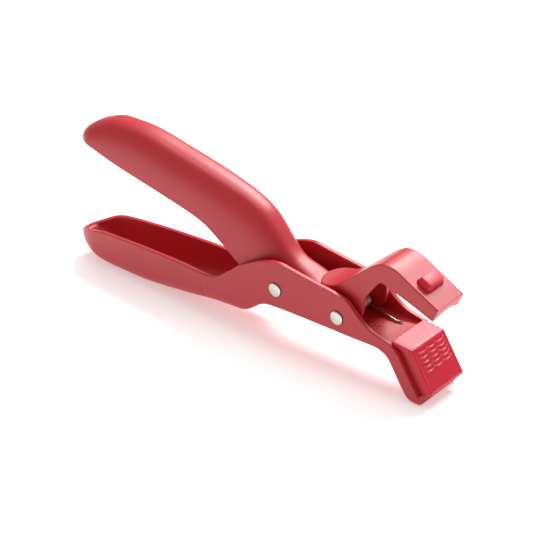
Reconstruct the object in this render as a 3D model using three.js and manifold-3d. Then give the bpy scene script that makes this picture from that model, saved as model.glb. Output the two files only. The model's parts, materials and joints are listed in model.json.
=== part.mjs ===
// Squeeze-handle gripper for hot bowls: a trough-shaped lower handle with a front jaw, an upper
// handle hinged on the rear rivet, and an upper jaw hinged on the front rivet and lifted at its
// tail by the handle's nose. Millimetres. +X runs from the handle end to the jaws, +Z is up,
// Y = 0 is the plane of symmetry, and Z = 0 is the surface that the gripper stands on.
import * as THREE from 'three';
import { mergeVertices } from 'three/addons/utils/BufferGeometryUtils.js';
import Module from 'manifold-3d';

const wasm = await Module();
wasm.setup();

// ---- Driving dimensions ----
const REAR_PIVOT = new THREE.Vector2( 21.0, 26.7 );   // x, z of the handle's hinge
const FRONT_PIVOT = new THREE.Vector2( 52.8, 25.3 );  // x, z of the jaw's hinge
const BODY_HALF_WIDTH = 12.9;
const BODY_WALL = 2.2;
const FLOOR_TOP = 21.3;        // top of the floor plate between the cheeks
const HANDLE_HALF_WIDTH = 10.4;
const HANDLE_WALL = 2.2;
const NOSE_HALF_WIDTH = 6.8;   // the handle's narrow front end
const JAW_HALF_WIDTH = 9.0;
const JAW_WALL = 1.8;
const PAD_THICKNESS = 3.0;
const LOWER_PAD_HALF_WIDTH = 11.2;
const GAP = 0.3;               // clearance between neighbouring pieces
const BOSS_PLAY = 0.5;         // side play of the hinge bosses between the cheeks
const PIN_RADIUS = 2.0;
const HEAD_RADIUS = 3.0;
const HEAD_RECESS_RADIUS = 3.3;
const HEAD_RECESS_DEPTH = 0.6;
const WIRE_RADIUS = 0.5;
const COIL_RADIUS = 3.0;       // to the middle of the wire
const COIL_TURNS = 6;

// ---- Materials ----
const redPlastic = () => new THREE.MeshStandardMaterial( { color: 0xb3333d, roughness: 0.6, metalness: 0 } );
const redSilicone = () => new THREE.MeshStandardMaterial( { color: 0xc8102e, roughness: 0.5, metalness: 0 } );
const steel = () => new THREE.MeshStandardMaterial( { color: 0xc9c8c4, roughness: 0.3, metalness: 1 } );

// ---- Solid helpers ----
function toSolid( geometry ) {

	geometry.deleteAttribute( 'normal' );
	geometry.deleteAttribute( 'uv' );
	const merged = mergeVertices( geometry, 1e-4 );
	return new wasm.Manifold( new wasm.Mesh( {
		numProp: 3,
		vertProperties: new Float32Array( merged.attributes.position.array ),
		triVerts: new Uint32Array( merged.index.array ),
	} ) );

}

function toGeometry( solid ) {

	const mesh = solid.getMesh();
	const geometry = new THREE.BufferGeometry();
	geometry.setAttribute( 'position', new THREE.BufferAttribute( mesh.vertProperties, 3 ) );
	geometry.setIndex( new THREE.BufferAttribute( mesh.triVerts, 1 ) );
	geometry.computeVertexNormals();
	return geometry;

}

function part( name, solid, material ) {

	const mesh = new THREE.Mesh( toGeometry( solid ), material );
	mesh.name = name;
	return mesh;

}

// A smooth curve z(x) through points given in order of x, with no overshoot between them.
function curveThrough( points ) {

	const slopes = points.slice( 1 ).map( ( [ x, z ], i ) => ( z - points[ i ][ 1 ] ) / ( x - points[ i ][ 0 ] ) );
	const tangents = points.map( ( _, i ) => {

		const before = slopes[ i - 1 ] ?? slopes[ i ];
		const after = slopes[ i ] ?? before;
		return before * after <= 0 ? 0 : 2 * before * after / ( before + after );

	} );
	return ( x ) => {

		const last = points.length - 2;
		const i = Math.max( 0, Math.min( last, points.findIndex( ( p ) => p[ 0 ] > x ) - 1 ) );
		const k = x > points[ last ][ 0 ] ? last : i;
		const [ x0, z0 ] = points[ k ];
		const [ x1, z1 ] = points[ k + 1 ];
		const h = x1 - x0;
		const t = THREE.MathUtils.clamp( ( x - x0 ) / h, 0, 1 );
		return z0 * ( 1 + 2 * t ) * ( 1 - t ) ** 2 + tangents[ k ] * h * t * ( 1 - t ) ** 2
			+ z1 * t * t * ( 3 - 2 * t ) + tangents[ k + 1 ] * h * t * t * ( t - 1 );

	};

}

// Stations along X, closer together towards a rounded rear end.
function stationsFrom( rear, front, roundLength, roundCount, step ) {

	const stations = [];
	for ( let i = 0; i < roundCount; i ++ ) {

		stations.push( rear + roundLength * ( 1 - Math.cos( Math.PI / 2 * i / roundCount ) ) );

	}

	const count = Math.ceil( ( front - rear - roundLength ) / step );
	for ( let i = 0; i <= count; i ++ ) {

		stations.push( rear + roundLength + ( front - rear - roundLength ) * i / count );

	}

	return stations;

}

// A closed body through rings of points that all have the same count, capped at both ends.
function loft( rings ) {

	const count = rings[ 0 ].length;
	const vertices = rings.flat();
	const triangles = [];
	for ( let r = 0; r < rings.length - 1; r ++ ) {

		for ( let i = 0; i < count; i ++ ) {

			const a = r * count + i;
			const b = r * count + ( i + 1 ) % count;
			triangles.push( [ a, b, a + count ], [ b, b + count, a + count ] );

		}

	}

	for ( const [ start, flip ] of [ [ 0, true ], [ ( rings.length - 1 ) * count, false ] ] ) {

		const middle = vertices.length;
		const ring = vertices.slice( start, start + count );
		vertices.push( ring.reduce( ( sum, v ) => sum.add( v ), new THREE.Vector3() ).divideScalar( count ) );
		for ( let i = 0; i < count; i ++ ) {

			const a = start + i;
			const b = start + ( i + 1 ) % count;
			triangles.push( flip ? [ b, a, middle ] : [ a, b, middle ] );

		}

	}

	const geometry = new THREE.BufferGeometry().setFromPoints( vertices );
	geometry.setIndex( triangles.flat() );
	return toSolid( geometry );

}

// One cross-section: a flat side at zFlat and a rounded side at zRound, as a superellipse.
function archRing( x, halfWidth, zFlat, zRound, exponent, steps = 14 ) {

	const ring = [];
	const power = 2 / exponent;
	for ( let i = 0; i <= steps; i ++ ) {

		const angle = Math.PI * i / steps;
		const across = Math.sign( Math.cos( angle ) ) * Math.abs( Math.cos( angle ) ) ** power;
		const along = Math.max( 0, Math.sin( angle ) ) ** power;
		ring.push( new THREE.Vector3( x, halfWidth * across, zFlat + ( zRound - zFlat ) * along ) );

	}

	return zRound > zFlat ? ring : ring.reverse();

}

// A side-view outline extruded across the gripper, from y0 to y1.
function across( shape, y0, y1, curveSegments = 8 ) {

	const geometry = new THREE.ExtrudeGeometry( shape, { depth: y1 - y0, bevelEnabled: false, curveSegments } );
	geometry.rotateX( Math.PI / 2 );
	geometry.translate( 0, y1, 0 );
	return toSolid( geometry );

}

// A shaft along Y, with straight sides from y0 to y1.
function shaft( centre, radius, y0, y1, segments = 24 ) {

	const geometry = new THREE.CylinderGeometry( radius, radius, y1 - y0, segments );
	geometry.translate( 0, ( y0 + y1 ) / 2, 0 );
	geometry.translate( centre.x, 0, centre.y );
	return toSolid( geometry );

}

function outline( points ) {

	return new THREE.Shape( points.map( ( [ x, z ] ) => new THREE.Vector2( x, z ) ) );

}

// The front jaw faces lie along this direction, 57 degrees down from level.
const JAW_SLOPE = THREE.MathUtils.degToRad( - 57.2 );
const alongJaw = new THREE.Vector2( Math.cos( JAW_SLOPE ), Math.sin( JAW_SLOPE ) );
const outOfJaw = new THREE.Vector2( - alongJaw.y, alongJaw.x );
const PAD_BEND = new THREE.Vector2( 88.6, 22.4 );    // outer corner where the pad turns down
const PAD_REAR_X = 79.0;
const PAD_REAR_TOP = 23.5;
const PAD_FACE_LENGTH = 19.4;

// A point s along the jaw from the pad's bend, and t in from the pad's face.
function jawPoint( s, t ) {

	return PAD_BEND.clone().addScaledVector( alongJaw, s ).addScaledVector( outOfJaw, - t );

}

// ---- Lower body: trough handle, cheeks, floor plate and front jaw in one moulding ----
const BODY_REAR = - 99;
const BODY_END_LENGTH = 13.5;
const PLATE_FRONT = 76;

const rimHeight = curveThrough( [
	[ BODY_REAR, 11.4 ], [ - 95, 13.2 ], [ - 89.4, 15.8 ], [ - 82, 17.6 ], [ - 69, 18.6 ], [ - 54, 19.4 ],
	[ - 32, 19.9 ], [ - 18, 19.6 ], [ - 13.9, 19.9 ], [ - 6, 25.0 ], [ 2.3, 31.5 ], [ 14.9, 37.9 ],
	[ 22.8, 39.6 ], [ 28, 38.9 ], [ 39.1, 37.4 ], [ 52.3, 35.7 ], [ 56.8, 34.6 ], [ 60.3, 31.8 ],
	[ 63.4, 28.4 ], [ 68.4, 25.2 ], [ 74.4, 23.6 ], [ PLATE_FRONT + 4, 22.0 ],
] );
const keelHeight = curveThrough( [
	[ BODY_REAR, 11.0 ], [ - 97, 7.2 ], [ - 92.7, 3.4 ], [ - 86, 0.6 ], [ - 78, 0 ], [ - 60, 0.2 ],
	[ - 36.3, 2.7 ], [ - 4.3, 8.1 ], [ 2, 9.0 ], [ 7.5, 12.2 ], [ 11.9, 15.8 ], [ 16.2, 17.4 ],
	[ 28.9, 18.0 ], [ PLATE_FRONT, 18.3 ], [ PLATE_FRONT + 4, 18.3 ],
] );
const bodyPlan = curveThrough( [
	[ BODY_REAR, 9.8 ], [ - 82, 10.1 ], [ - 68, 10.7 ], [ - 54, 11.2 ], [ - 32, 12.0 ], [ - 16, 12.6 ],
	[ - 6, BODY_HALF_WIDTH ], [ PLATE_FRONT + 4, BODY_HALF_WIDTH ],
] );
const bodyRoundness = curveThrough( [
	[ BODY_REAR, 2.8 ], [ - 75, 4.0 ], [ - 20, 4.2 ], [ 0, 5.0 ], [ 14, 14 ], [ PLATE_FRONT + 4, 14 ],
] );

// The plan outline of a half-round end: 0 at the tip, 1 where the straight sides begin.
function endFactor( x, rear, length ) {

	return x >= rear + length ? 1 : Math.sqrt( Math.max( 0, 1 - ( ( rear + length - x ) / length ) ** 2 ) );

}

function bodyHalfWidth( x ) {

	return Math.max( 0.4, bodyPlan( x ) * endFactor( x, BODY_REAR, BODY_END_LENGTH ) );

}

function makeLowerBody() {

	const outer = loft( stationsFrom( BODY_REAR, PLATE_FRONT, BODY_END_LENGTH, 8, 4.5 ).map(
		( x ) => archRing( x, bodyHalfWidth( x ), rimHeight( x ), keelHeight( x ), bodyRoundness( x ) ) ) );

	// The hollow follows the outer shape a wall's thickness in, and is open at the top.
	const hollowFloor = ( x ) => Math.max( keelHeight( x ) + BODY_WALL, x > 14 ? FLOOR_TOP : 0 );
	const hollowRear = BODY_REAR + BODY_WALL;
	const openTop = 60;
	const hollow = loft( stationsFrom( hollowRear, PLATE_FRONT + 8, BODY_END_LENGTH, 8, 5.5 ).map( ( x ) => {

		const half = Math.max( 0.3, ( bodyPlan( x ) - BODY_WALL ) * endFactor( x, hollowRear, BODY_END_LENGTH ) );
		const floor = hollowFloor( x );
		const sharpness = x > 12 ? 3 : 1;
		const ring = archRing( x, half, Math.max( rimHeight( x ), floor + 1 ), floor, bodyRoundness( x ) * sharpness, 12 );
		const left = new THREE.Vector3( x, - half, openTop );
		const right = new THREE.Vector3( x, half, openTop );
		return [ ...ring, right, left ];

	} ) );

	// Front jaw: a thick flange down the back and a narrower core that carries the pad.
	const heel = new THREE.Vector2( 91.4, 0 );
	const flangeShape = new THREE.Shape();
	flangeShape.moveTo( 70, 18.4 );
	flangeShape.quadraticCurveTo( 75.6, 18.4, 78.3, 14.9 );
	flangeShape.lineTo( 85.6, 3.6 );
	flangeShape.quadraticCurveTo( 87.6, 0, heel.x, heel.y );
	flangeShape.lineTo( 93.6, 0 );
	flangeShape.quadraticCurveTo( 95.6, 0, 95.2, 1.6 );
	const flangeFront = 6.3;
	const flangeTop = jawPoint( 2.0, flangeFront );
	flangeShape.lineTo( jawPoint( 17.6, flangeFront ).x, jawPoint( 17.6, flangeFront ).y );
	flangeShape.lineTo( flangeTop.x, flangeTop.y );
	flangeShape.lineTo( PLATE_FRONT - 1, FLOOR_TOP );
	flangeShape.lineTo( 70, FLOOR_TOP );
	const coreDepth = PAD_THICKNESS + GAP;
	const core = [
		jawPoint( 0, coreDepth ), jawPoint( PAD_FACE_LENGTH - 2.2, coreDepth ),
		jawPoint( PAD_FACE_LENGTH - 1.6, flangeFront + 1 ), jawPoint( 0, flangeFront + 2 ),
	];
	const coreTopZ = PAD_REAR_TOP - PAD_THICKNESS + 0.9;
	const coreOutline = outline( [
		[ 74, 20 ], [ 76, 19 ],
		[ core[ 3 ].x, core[ 3 ].y ], [ core[ 2 ].x, core[ 2 ].y ], [ core[ 1 ].x, core[ 1 ].y ],
		[ core[ 0 ].x, core[ 0 ].y ], [ core[ 0 ].x - 0.8, coreTopZ - 1.6 ], [ 79, coreTopZ - 1.4 ], [ 74, FLOOR_TOP - 1 ],
	] );
	const coreHalfWidth = 10.3;

	let body = outer.subtract( hollow )
		.add( across( flangeShape, - BODY_HALF_WIDTH, BODY_HALF_WIDTH ) )
		.add( across( coreOutline, - coreHalfWidth, coreHalfWidth ) );
	for ( const pivot of [ REAR_PIVOT, FRONT_PIVOT ] ) {

		const outside = BODY_HALF_WIDTH + 1;
		body = body.subtract( shaft( pivot, PIN_RADIUS + GAP, - outside, outside ) )
			.subtract( shaft( pivot, HEAD_RECESS_RADIUS, - outside, - BODY_HALF_WIDTH + HEAD_RECESS_DEPTH ) )
			.subtract( shaft( pivot, HEAD_RECESS_RADIUS, BODY_HALF_WIDTH - HEAD_RECESS_DEPTH, outside ) );

	}

	return body;

}

// ---- Upper handle: an inverted trough that narrows to a nose under the jaw's tail ----
const HANDLE_REAR = - 95.2;
const HANDLE_END_LENGTH = 9.5;
const NOSE_TIP = 45.5;

const handleTop = curveThrough( [
	[ HANDLE_REAR, 61.4 ], [ - 94, 63.0 ], [ - 90.5, 65.9 ], [ - 83, 69.5 ], [ - 74, 71.6 ], [ - 63.7, 71.7 ],
	[ - 37.5, 67.9 ], [ - 8.4, 61.4 ], [ - 1.2, 59.1 ], [ 6.8, 54.9 ], [ 12.2, 49.7 ], [ 17, 44.3 ],
	[ 20.3, 40.6 ], [ 24.8, 37.2 ], [ 30.8, 34.9 ], [ 36.5, 32.4 ], [ NOSE_TIP, 30.8 ],
] );
const handleBottom = curveThrough( [
	[ HANDLE_REAR, 60.2 ], [ - 83, 57.7 ], [ - 43.7, 49.4 ], [ - 26.9, 45.8 ], [ - 20, 43.6 ],
	[ - 10.5, 37.6 ], [ 0.8, 29.4 ], [ 9, 25.4 ], [ 16, 23.0 ], [ 24, 23.2 ], [ 32, 26.8 ], [ 40, 28.8 ], [ NOSE_TIP, 29.4 ],
] );
const handlePlan = curveThrough( [
	[ HANDLE_REAR, 9.9 ], [ - 82, 10.2 ], [ - 60, HANDLE_HALF_WIDTH ], [ 1, HANDLE_HALF_WIDTH ], [ 9, 9.8 ],
	[ 18, 7.6 ], [ 24, NOSE_HALF_WIDTH ], [ NOSE_TIP, NOSE_HALF_WIDTH - 0.4 ],
] );

function makeUpperHandle() {

	const roundness = curveThrough( [ [ HANDLE_REAR, 2.2 ], [ - 60, 2.7 ], [ 0, 2.7 ], [ 20, 3.2 ], [ NOSE_TIP, 5 ] ] );
	const outer = loft( stationsFrom( HANDLE_REAR, NOSE_TIP, HANDLE_END_LENGTH, 8, 4 ).map( ( x ) => archRing(
		x, Math.max( 0.4, handlePlan( x ) * endFactor( x, HANDLE_REAR, HANDLE_END_LENGTH ) ),
		handleBottom( x ), handleTop( x ), roundness( x ) ) ) );

	// The hollow is open underneath and ends behind the solid nose.
	const hollowRear = HANDLE_REAR + HANDLE_WALL;
	const hollowFront = 33;
	const openBottom = 6;
	const hollow = loft( stationsFrom( hollowRear, hollowFront, HANDLE_END_LENGTH, 8, 5 ).map( ( x ) => {

		const half = Math.max( 0.3, ( handlePlan( x ) - HANDLE_WALL ) * endFactor( x, hollowRear, HANDLE_END_LENGTH ) );
		const bottom = handleBottom( x );
		const roof = Math.max( bottom + 0.8, handleTop( x ) - HANDLE_WALL * ( x > - 10 && x < 26 ? 1.25 : 1 ) );
		const ring = archRing( x, half, bottom, roof, roundness( x ), 12 );
		const left = new THREE.Vector3( x, - half, bottom - openBottom );
		const right = new THREE.Vector3( x, half, bottom - openBottom );
		return [ ...ring, left, right ];

	} ) );

	// Two round bosses carry the rivet and keep the handle centred between the cheeks.
	const bossOuter = BODY_HALF_WIDTH - BODY_WALL - BOSS_PLAY;
	let handle = outer.subtract( hollow );
	for ( const side of [ - 1, 1 ] ) {

		const ends = [ side * ( NOSE_HALF_WIDTH - HANDLE_WALL ), side * bossOuter ].sort( ( a, b ) => a - b );
		handle = handle.add( shaft( REAR_PIVOT, 4.4, ends[ 0 ], ends[ 1 ] ) );

	}

	return handle.subtract( shaft( REAR_PIVOT, PIN_RADIUS + GAP, - BODY_HALF_WIDTH, BODY_HALF_WIDTH ) );

}

// ---- Upper jaw: a hook-shaped channel with a tongue at the tail and two ears on the pin ----
const JAW_TIP = new THREE.Vector2( 98.2, 43.6 );

// The outer line of the jaw's top plate, from the tongue to the tip, moved in by the given depth.
function jawTopLine( depth ) {

	const line = new THREE.CatmullRomCurve3( [
		[ 37.6, 35.2 ], [ 43, 35.6 ], [ 48.6, 37.2 ], [ 54, 41.4 ], [ 62.3, 48.9 ], [ 67.3, 52.8 ],
		[ 72.6, 54.8 ], [ 78.4, 53.9 ], [ 84.8, 50.5 ], [ JAW_TIP.x, JAW_TIP.y ],
	].map( ( [ x, z ] ) => new THREE.Vector3( x, z, 0 ) ), false, 'catmullrom', 0.5 );
	const steps = 30;
	return Array.from( { length: steps + 1 }, ( _, i ) => {

		const point = line.getPointAt( i / steps );
		const tangent = line.getTangentAt( i / steps );
		return [ point.x + tangent.y * depth, point.y - tangent.x * depth ];

	} );

}

const JAW_FLANGE = 6.2;
const EAR_RADIUS = 3.7;

function makeUpperJaw() {

	const top = jawTopLine( 0 );
	const tipInner = jawTopLine( JAW_FLANGE ).at( - 1 );
	const hook = outline( top );
	hook.lineTo( tipInner[ 0 ], tipInner[ 1 ] );
	hook.lineTo( 86.0, 41.6 );
	hook.lineTo( 73.2, 45.6 );
	hook.quadraticCurveTo( 70.6, 46.8, 69.0, 44.4 );
	hook.lineTo( 64.4, 37.8 );
	hook.quadraticCurveTo( 62.6, 35.2, 62.6, 33.2 );
	hook.lineTo( 62.6, 30.6 );
	hook.lineTo( 61.6, 26.4 );
	const earStart = THREE.MathUtils.degToRad( - 60 );
	hook.lineTo( FRONT_PIVOT.x + EAR_RADIUS * Math.cos( earStart ), FRONT_PIVOT.y + EAR_RADIUS * Math.sin( earStart ) );
	hook.absarc( FRONT_PIVOT.x, FRONT_PIVOT.y, EAR_RADIUS, earStart, - Math.PI, true );
	hook.lineTo( FRONT_PIVOT.x - EAR_RADIUS, 33.9 );
	hook.lineTo( 37.6, 33.2 );

	// The channel under the top plate runs from the tongue to the open tip.
	const under = jawTopLine( JAW_WALL );
	const channel = outline( [ ...under.slice( 6 ), [ 104, 36 ], [ 96, 24 ], [ 40, 16 ], [ 46.5, 33.6 ] ] );
	const inside = JAW_HALF_WIDTH - JAW_WALL;

	// The tongue is rounded off in plan.
	const plan = new THREE.Shape();
	plan.moveTo( 110, - JAW_HALF_WIDTH );
	plan.lineTo( 110, JAW_HALF_WIDTH );
	plan.lineTo( 44.5, JAW_HALF_WIDTH );
	plan.bezierCurveTo( 39.8, JAW_HALF_WIDTH, 37.7, 5.5, 37.7, 0 );
	plan.bezierCurveTo( 37.7, - 5.5, 39.8, - JAW_HALF_WIDTH, 44.5, - JAW_HALF_WIDTH );
	const planGeometry = new THREE.ExtrudeGeometry( plan, { depth: 80, bevelEnabled: false, curveSegments: 10 } );

	let jaw = across( hook, - JAW_HALF_WIDTH, JAW_HALF_WIDTH )
		.subtract( across( channel, - inside, inside ) )
		.intersect( toSolid( planGeometry ) );

	// Bosses on the ears keep the jaw centred between the cheeks.
	const bossOuter = BODY_HALF_WIDTH - BODY_WALL - BOSS_PLAY;
	jaw = jaw.add( shaft( FRONT_PIVOT, EAR_RADIUS, - bossOuter, - inside ) )
		.add( shaft( FRONT_PIVOT, EAR_RADIUS, inside, bossOuter ) )
		.subtract( shaft( FRONT_PIVOT, PIN_RADIUS + GAP, - BODY_HALF_WIDTH, BODY_HALF_WIDTH ) );

	return jaw.subtract( nubBlock( NUB_HALF_LENGTH + GAP, NUB_HALF_WIDTH + GAP, - 10, 10 ) );

}

// ---- Silicone pads ----
const NUB_CENTRE = new THREE.Vector2( 87.6, 49.1 );  // where the nub's middle crosses the plate's outer face
const PLATE_SLOPE = THREE.MathUtils.degToRad( - 27.2 );
const NUB_HALF_LENGTH = 3.4;
const NUB_HALF_WIDTH = 5.4;
const NUB_HEIGHT = 2.8;

// A block standing across the front plate, from depth low to high, measured out of the plate.
function nubBlock( halfLength, halfWidth, low, high ) {

	const geometry = new THREE.BoxGeometry( 2 * halfLength, 2 * halfWidth, high - low );
	geometry.translate( 0, 0, ( high + low ) / 2 );
	geometry.rotateY( - PLATE_SLOPE );
	geometry.translate( NUB_CENTRE.x, 0, NUB_CENTRE.y );
	return toSolid( geometry );

}

function makeUpperJawPad() {

	const alongPlate = new THREE.Vector2( Math.cos( PLATE_SLOPE ), Math.sin( PLATE_SLOPE ) );
	const intoPlate = new THREE.Vector2( alongPlate.y, - alongPlate.x );
	const at = ( s, t ) => {

		const p = JAW_TIP.clone().addScaledVector( alongPlate, s ).addScaledVector( intoPlate, t );
		return [ p.x, p.y ];

	};

	const roof = JAW_WALL + GAP;
	const face = JAW_FLANGE + 0.2;
	const block = across( outline( [ at( - 0.4, roof ), at( - 0.4, face ), at( - 9.4, face + 0.8 ),
		at( - 15.5, face + 1.7 ), at( - 15.5, roof + 2 ), at( - 13.5, roof ) ] ),
		- ( JAW_HALF_WIDTH - JAW_WALL - GAP ), JAW_HALF_WIDTH - JAW_WALL - GAP );
	return block.add( nubBlock( NUB_HALF_LENGTH, NUB_HALF_WIDTH, - JAW_WALL - 1, NUB_HEIGHT ) );

}

function makeLowerJawPad() {

	const shape = new THREE.Shape();
	const bottomFront = jawPoint( PAD_FACE_LENGTH, 0 );
	const bottomBack = jawPoint( PAD_FACE_LENGTH, PAD_THICKNESS );
	const bendInner = jawPoint( 1.0, PAD_THICKNESS );
	shape.moveTo( PAD_REAR_X, PAD_REAR_TOP );
	shape.lineTo( PAD_REAR_X, PAD_REAR_TOP - 1.7 );
	shape.lineTo( bendInner.x - 1.0, bendInner.y + 0.9 );
	shape.quadraticCurveTo( bendInner.x, bendInner.y + 0.6, bendInner.x, bendInner.y );
	shape.lineTo( bottomBack.x, bottomBack.y );
	shape.lineTo( bottomFront.x, bottomFront.y );
	shape.lineTo( jawPoint( 1.6, 0 ).x, jawPoint( 1.6, 0 ).y );
	shape.quadraticCurveTo( PAD_BEND.x, PAD_BEND.y, PAD_BEND.x - 1.6, PAD_BEND.y + 0.3 );
	return across( shape, - LOWER_PAD_HALF_WIDTH, LOWER_PAD_HALF_WIDTH );

}

// ---- Rivets: a headed post through both cheeks, and a cap on its far end ----
function headProfile( rim, height ) {

	return [ [ 0, 0 ], [ rim, 0 ], [ rim, height * 0.6 ], [ rim * 0.72, height * 0.9 ], [ 0, height ] ];

}

function turned( profile, centre, y, direction ) {

	const geometry = new THREE.LatheGeometry( profile.map( ( [ r, h ] ) => new THREE.Vector2( r, h ) ), 24 );
	if ( direction < 0 ) geometry.rotateX( Math.PI );
	geometry.translate( centre.x, y, centre.y );
	return toSolid( geometry );

}

const HEAD_HEIGHT = 1.4;
const HEAD_SEAT = BODY_HALF_WIDTH - HEAD_RECESS_DEPTH + 0.05;

function makeRivet( pivot ) {

	return shaft( pivot, PIN_RADIUS, - HEAD_SEAT - 0.2, HEAD_SEAT - GAP - 0.1 )
		.add( turned( headProfile( HEAD_RADIUS, HEAD_HEIGHT ), pivot, - HEAD_SEAT, - 1 ) );

}

function makeRivetCap( pivot ) {

	return turned( headProfile( HEAD_RADIUS, HEAD_HEIGHT ), pivot, HEAD_SEAT, 1 );

}

// ---- Torsion spring: a coil on the front rivet, one leg on the floor plate, one under the jaw ----
class SpringPath extends THREE.Curve {

	constructor() {

		super();
		this.coilStart = - 0.4;
		this.coilEnd = this.coilStart + COIL_TURNS * ( 2 * WIRE_RADIUS + 0.1 );

	}

	getPoint( t, target = new THREE.Vector3() ) {

		const legShare = 0.12;
		const lowAngle = THREE.MathUtils.degToRad( - 70 );
		const sweep = 2 * Math.PI * ( COIL_TURNS - 0.35 );
		const onCoil = ( u ) => [ lowAngle - sweep * u, this.coilEnd + ( this.coilStart - this.coilEnd ) * u ];
		const place = ( angle, y ) => target.set(
			FRONT_PIVOT.x + COIL_RADIUS * Math.cos( angle ), y, FRONT_PIVOT.y + COIL_RADIUS * Math.sin( angle ) );
		if ( t < legShare ) {

			place( ...onCoil( 0 ) );
			return target.lerp( new THREE.Vector3( 71.6, this.coilEnd + 1.2, 22.1 ), 1 - t / legShare );

		}

		if ( t > 1 - legShare ) {

			place( ...onCoil( 1 ) );
			return target.lerp( new THREE.Vector3( 61.0, this.coilStart - 0.4, 43.4 ), ( t - 1 + legShare ) / legShare );

		}

		return place( ...onCoil( ( t - legShare ) / ( 1 - 2 * legShare ) ) );

	}

}

function makeTorsionSpring() {

	const section = new THREE.Shape();
	section.absarc( 0, 0, WIRE_RADIUS, 0, 2 * Math.PI );
	const geometry = new THREE.ExtrudeGeometry( section, {
		extrudePath: new SpringPath(), steps: 110, curveSegments: 3, bevelEnabled: false } );
	return toSolid( geometry );

}

// ---- Assembly ----
const group = new THREE.Group();
group.add(
	part( 'lower_body', makeLowerBody(), redPlastic() ),
	part( 'upper_handle', makeUpperHandle(), redPlastic() ),
	part( 'upper_jaw', makeUpperJaw(), redPlastic() ),
	part( 'lower_jaw_pad', makeLowerJawPad(), redSilicone() ),
	part( 'upper_jaw_pad', makeUpperJawPad(), redSilicone() ),
	part( 'rear_rivet', makeRivet( REAR_PIVOT ), steel() ),
	part( 'rear_rivet_cap', makeRivetCap( REAR_PIVOT ), steel() ),
	part( 'front_rivet', makeRivet( FRONT_PIVOT ), steel() ),
	part( 'front_rivet_cap', makeRivetCap( FRONT_PIVOT ), steel() ),
	part( 'torsion_spring', makeTorsionSpring(), steel() ),
);

export default group;
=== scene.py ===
"""Squeeze-handle gripper for hot bowls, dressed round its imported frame.

Two long red mouldings, a hook-shaped upper jaw, two silicone pads, two steel rivets with
their caps, and a torsion spring. The sizes below are in millimetres and the meshes in metres,
with +X towards the jaws, +Y along the rivets and +Z up.
"""
import json
import math

import bpy
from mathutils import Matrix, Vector


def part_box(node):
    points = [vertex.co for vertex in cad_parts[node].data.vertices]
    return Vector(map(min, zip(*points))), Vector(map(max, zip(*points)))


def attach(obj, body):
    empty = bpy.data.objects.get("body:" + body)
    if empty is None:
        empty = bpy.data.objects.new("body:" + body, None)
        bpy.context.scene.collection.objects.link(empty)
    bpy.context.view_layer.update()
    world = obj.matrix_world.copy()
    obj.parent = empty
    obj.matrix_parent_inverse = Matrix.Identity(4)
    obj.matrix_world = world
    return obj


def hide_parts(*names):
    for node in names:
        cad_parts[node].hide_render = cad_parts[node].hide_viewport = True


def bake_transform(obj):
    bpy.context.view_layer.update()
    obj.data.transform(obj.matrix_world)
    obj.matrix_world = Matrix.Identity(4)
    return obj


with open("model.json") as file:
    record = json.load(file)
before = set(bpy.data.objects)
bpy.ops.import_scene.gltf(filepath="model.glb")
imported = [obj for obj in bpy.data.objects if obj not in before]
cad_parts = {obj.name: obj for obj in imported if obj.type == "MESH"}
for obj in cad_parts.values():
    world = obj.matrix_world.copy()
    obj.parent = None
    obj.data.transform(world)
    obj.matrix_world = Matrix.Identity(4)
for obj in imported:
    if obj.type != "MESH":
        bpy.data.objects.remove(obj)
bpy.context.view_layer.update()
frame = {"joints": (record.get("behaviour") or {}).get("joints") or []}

MM = 0.001
GRID_SIZE = 1.0
RING_POINTS = 37  # points along each arch of a section
ARCH_STEPS = 120  # points on each shoulder, before they are shared out

# ---- Driving dimensions, in millimetres ----
JOINTS = {joint["name"]: joint for joint in frame["joints"]}
REAR_PIVOT = [c / MM for c in JOINTS["handle_hinge"]["pos_m"]]
FRONT_PIVOT = [c / MM for c in JOINTS["jaw_hinge"]["pos_m"]]
BODY_HALF_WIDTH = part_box("lower_body")[1][1] / MM
BODY_WALL = 2.2
FLOOR_TOP = 21.3
HANDLE_HALF_WIDTH = 10.4
HANDLE_WALL = 2.2
NOSE_HALF_WIDTH = 6.8
JAW_HALF_WIDTH = 9.0
JAW_WALL = 1.8
JAW_FLANGE = 6.2
PAD_THICKNESS = 3.0
PAD_HALF_WIDTH = 11.2
PIN_RADIUS = 2.0
HEAD_RADIUS = 3.0
RECESS_RADIUS = 3.3
RECESS_DEPTH = 0.6
WIRE_RADIUS = 0.45
COIL_RADIUS = 3.0
PIN_CLEARANCE = 0.15
BOSS_CLEARANCE = 0.5
ALL_ROUND = 60  # a shoulder wider than any section, which leaves it no flats


# ---- Small tools ----
def deselect():
    """Leaves nothing selected, in object mode."""
    if bpy.context.object and bpy.context.object.mode != "OBJECT":
        bpy.ops.object.mode_set(mode="OBJECT")
    bpy.ops.object.select_all(action="DESELECT")


def select_only(piece):
    """Leaves one piece selected and active, in object mode."""
    deselect()
    piece.select_set(True)
    bpy.context.view_layer.objects.active = piece


def edit(piece, mode="VERT"):
    """Enters edit mode on a piece with nothing selected."""
    select_only(piece)
    bpy.ops.object.mode_set(mode="EDIT")
    bpy.ops.mesh.select_mode(type=mode)
    bpy.ops.mesh.select_all(action="DESELECT")


def apply_modifier(piece, kind, **settings):
    """Adds a modifier with its settings and applies it at once."""
    select_only(piece)
    modifier = piece.modifiers.new(kind.title(), kind)
    for key, value in settings.items():
        setattr(modifier, key, value)
    bpy.ops.object.modifier_apply(modifier=modifier.name)


def smooth(piece, degrees=35):
    """Shades a piece smooth and keeps the edges that turn by more than this sharp."""
    select_only(piece)
    bpy.ops.object.shade_smooth_by_angle(angle=math.radians(degrees))


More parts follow.
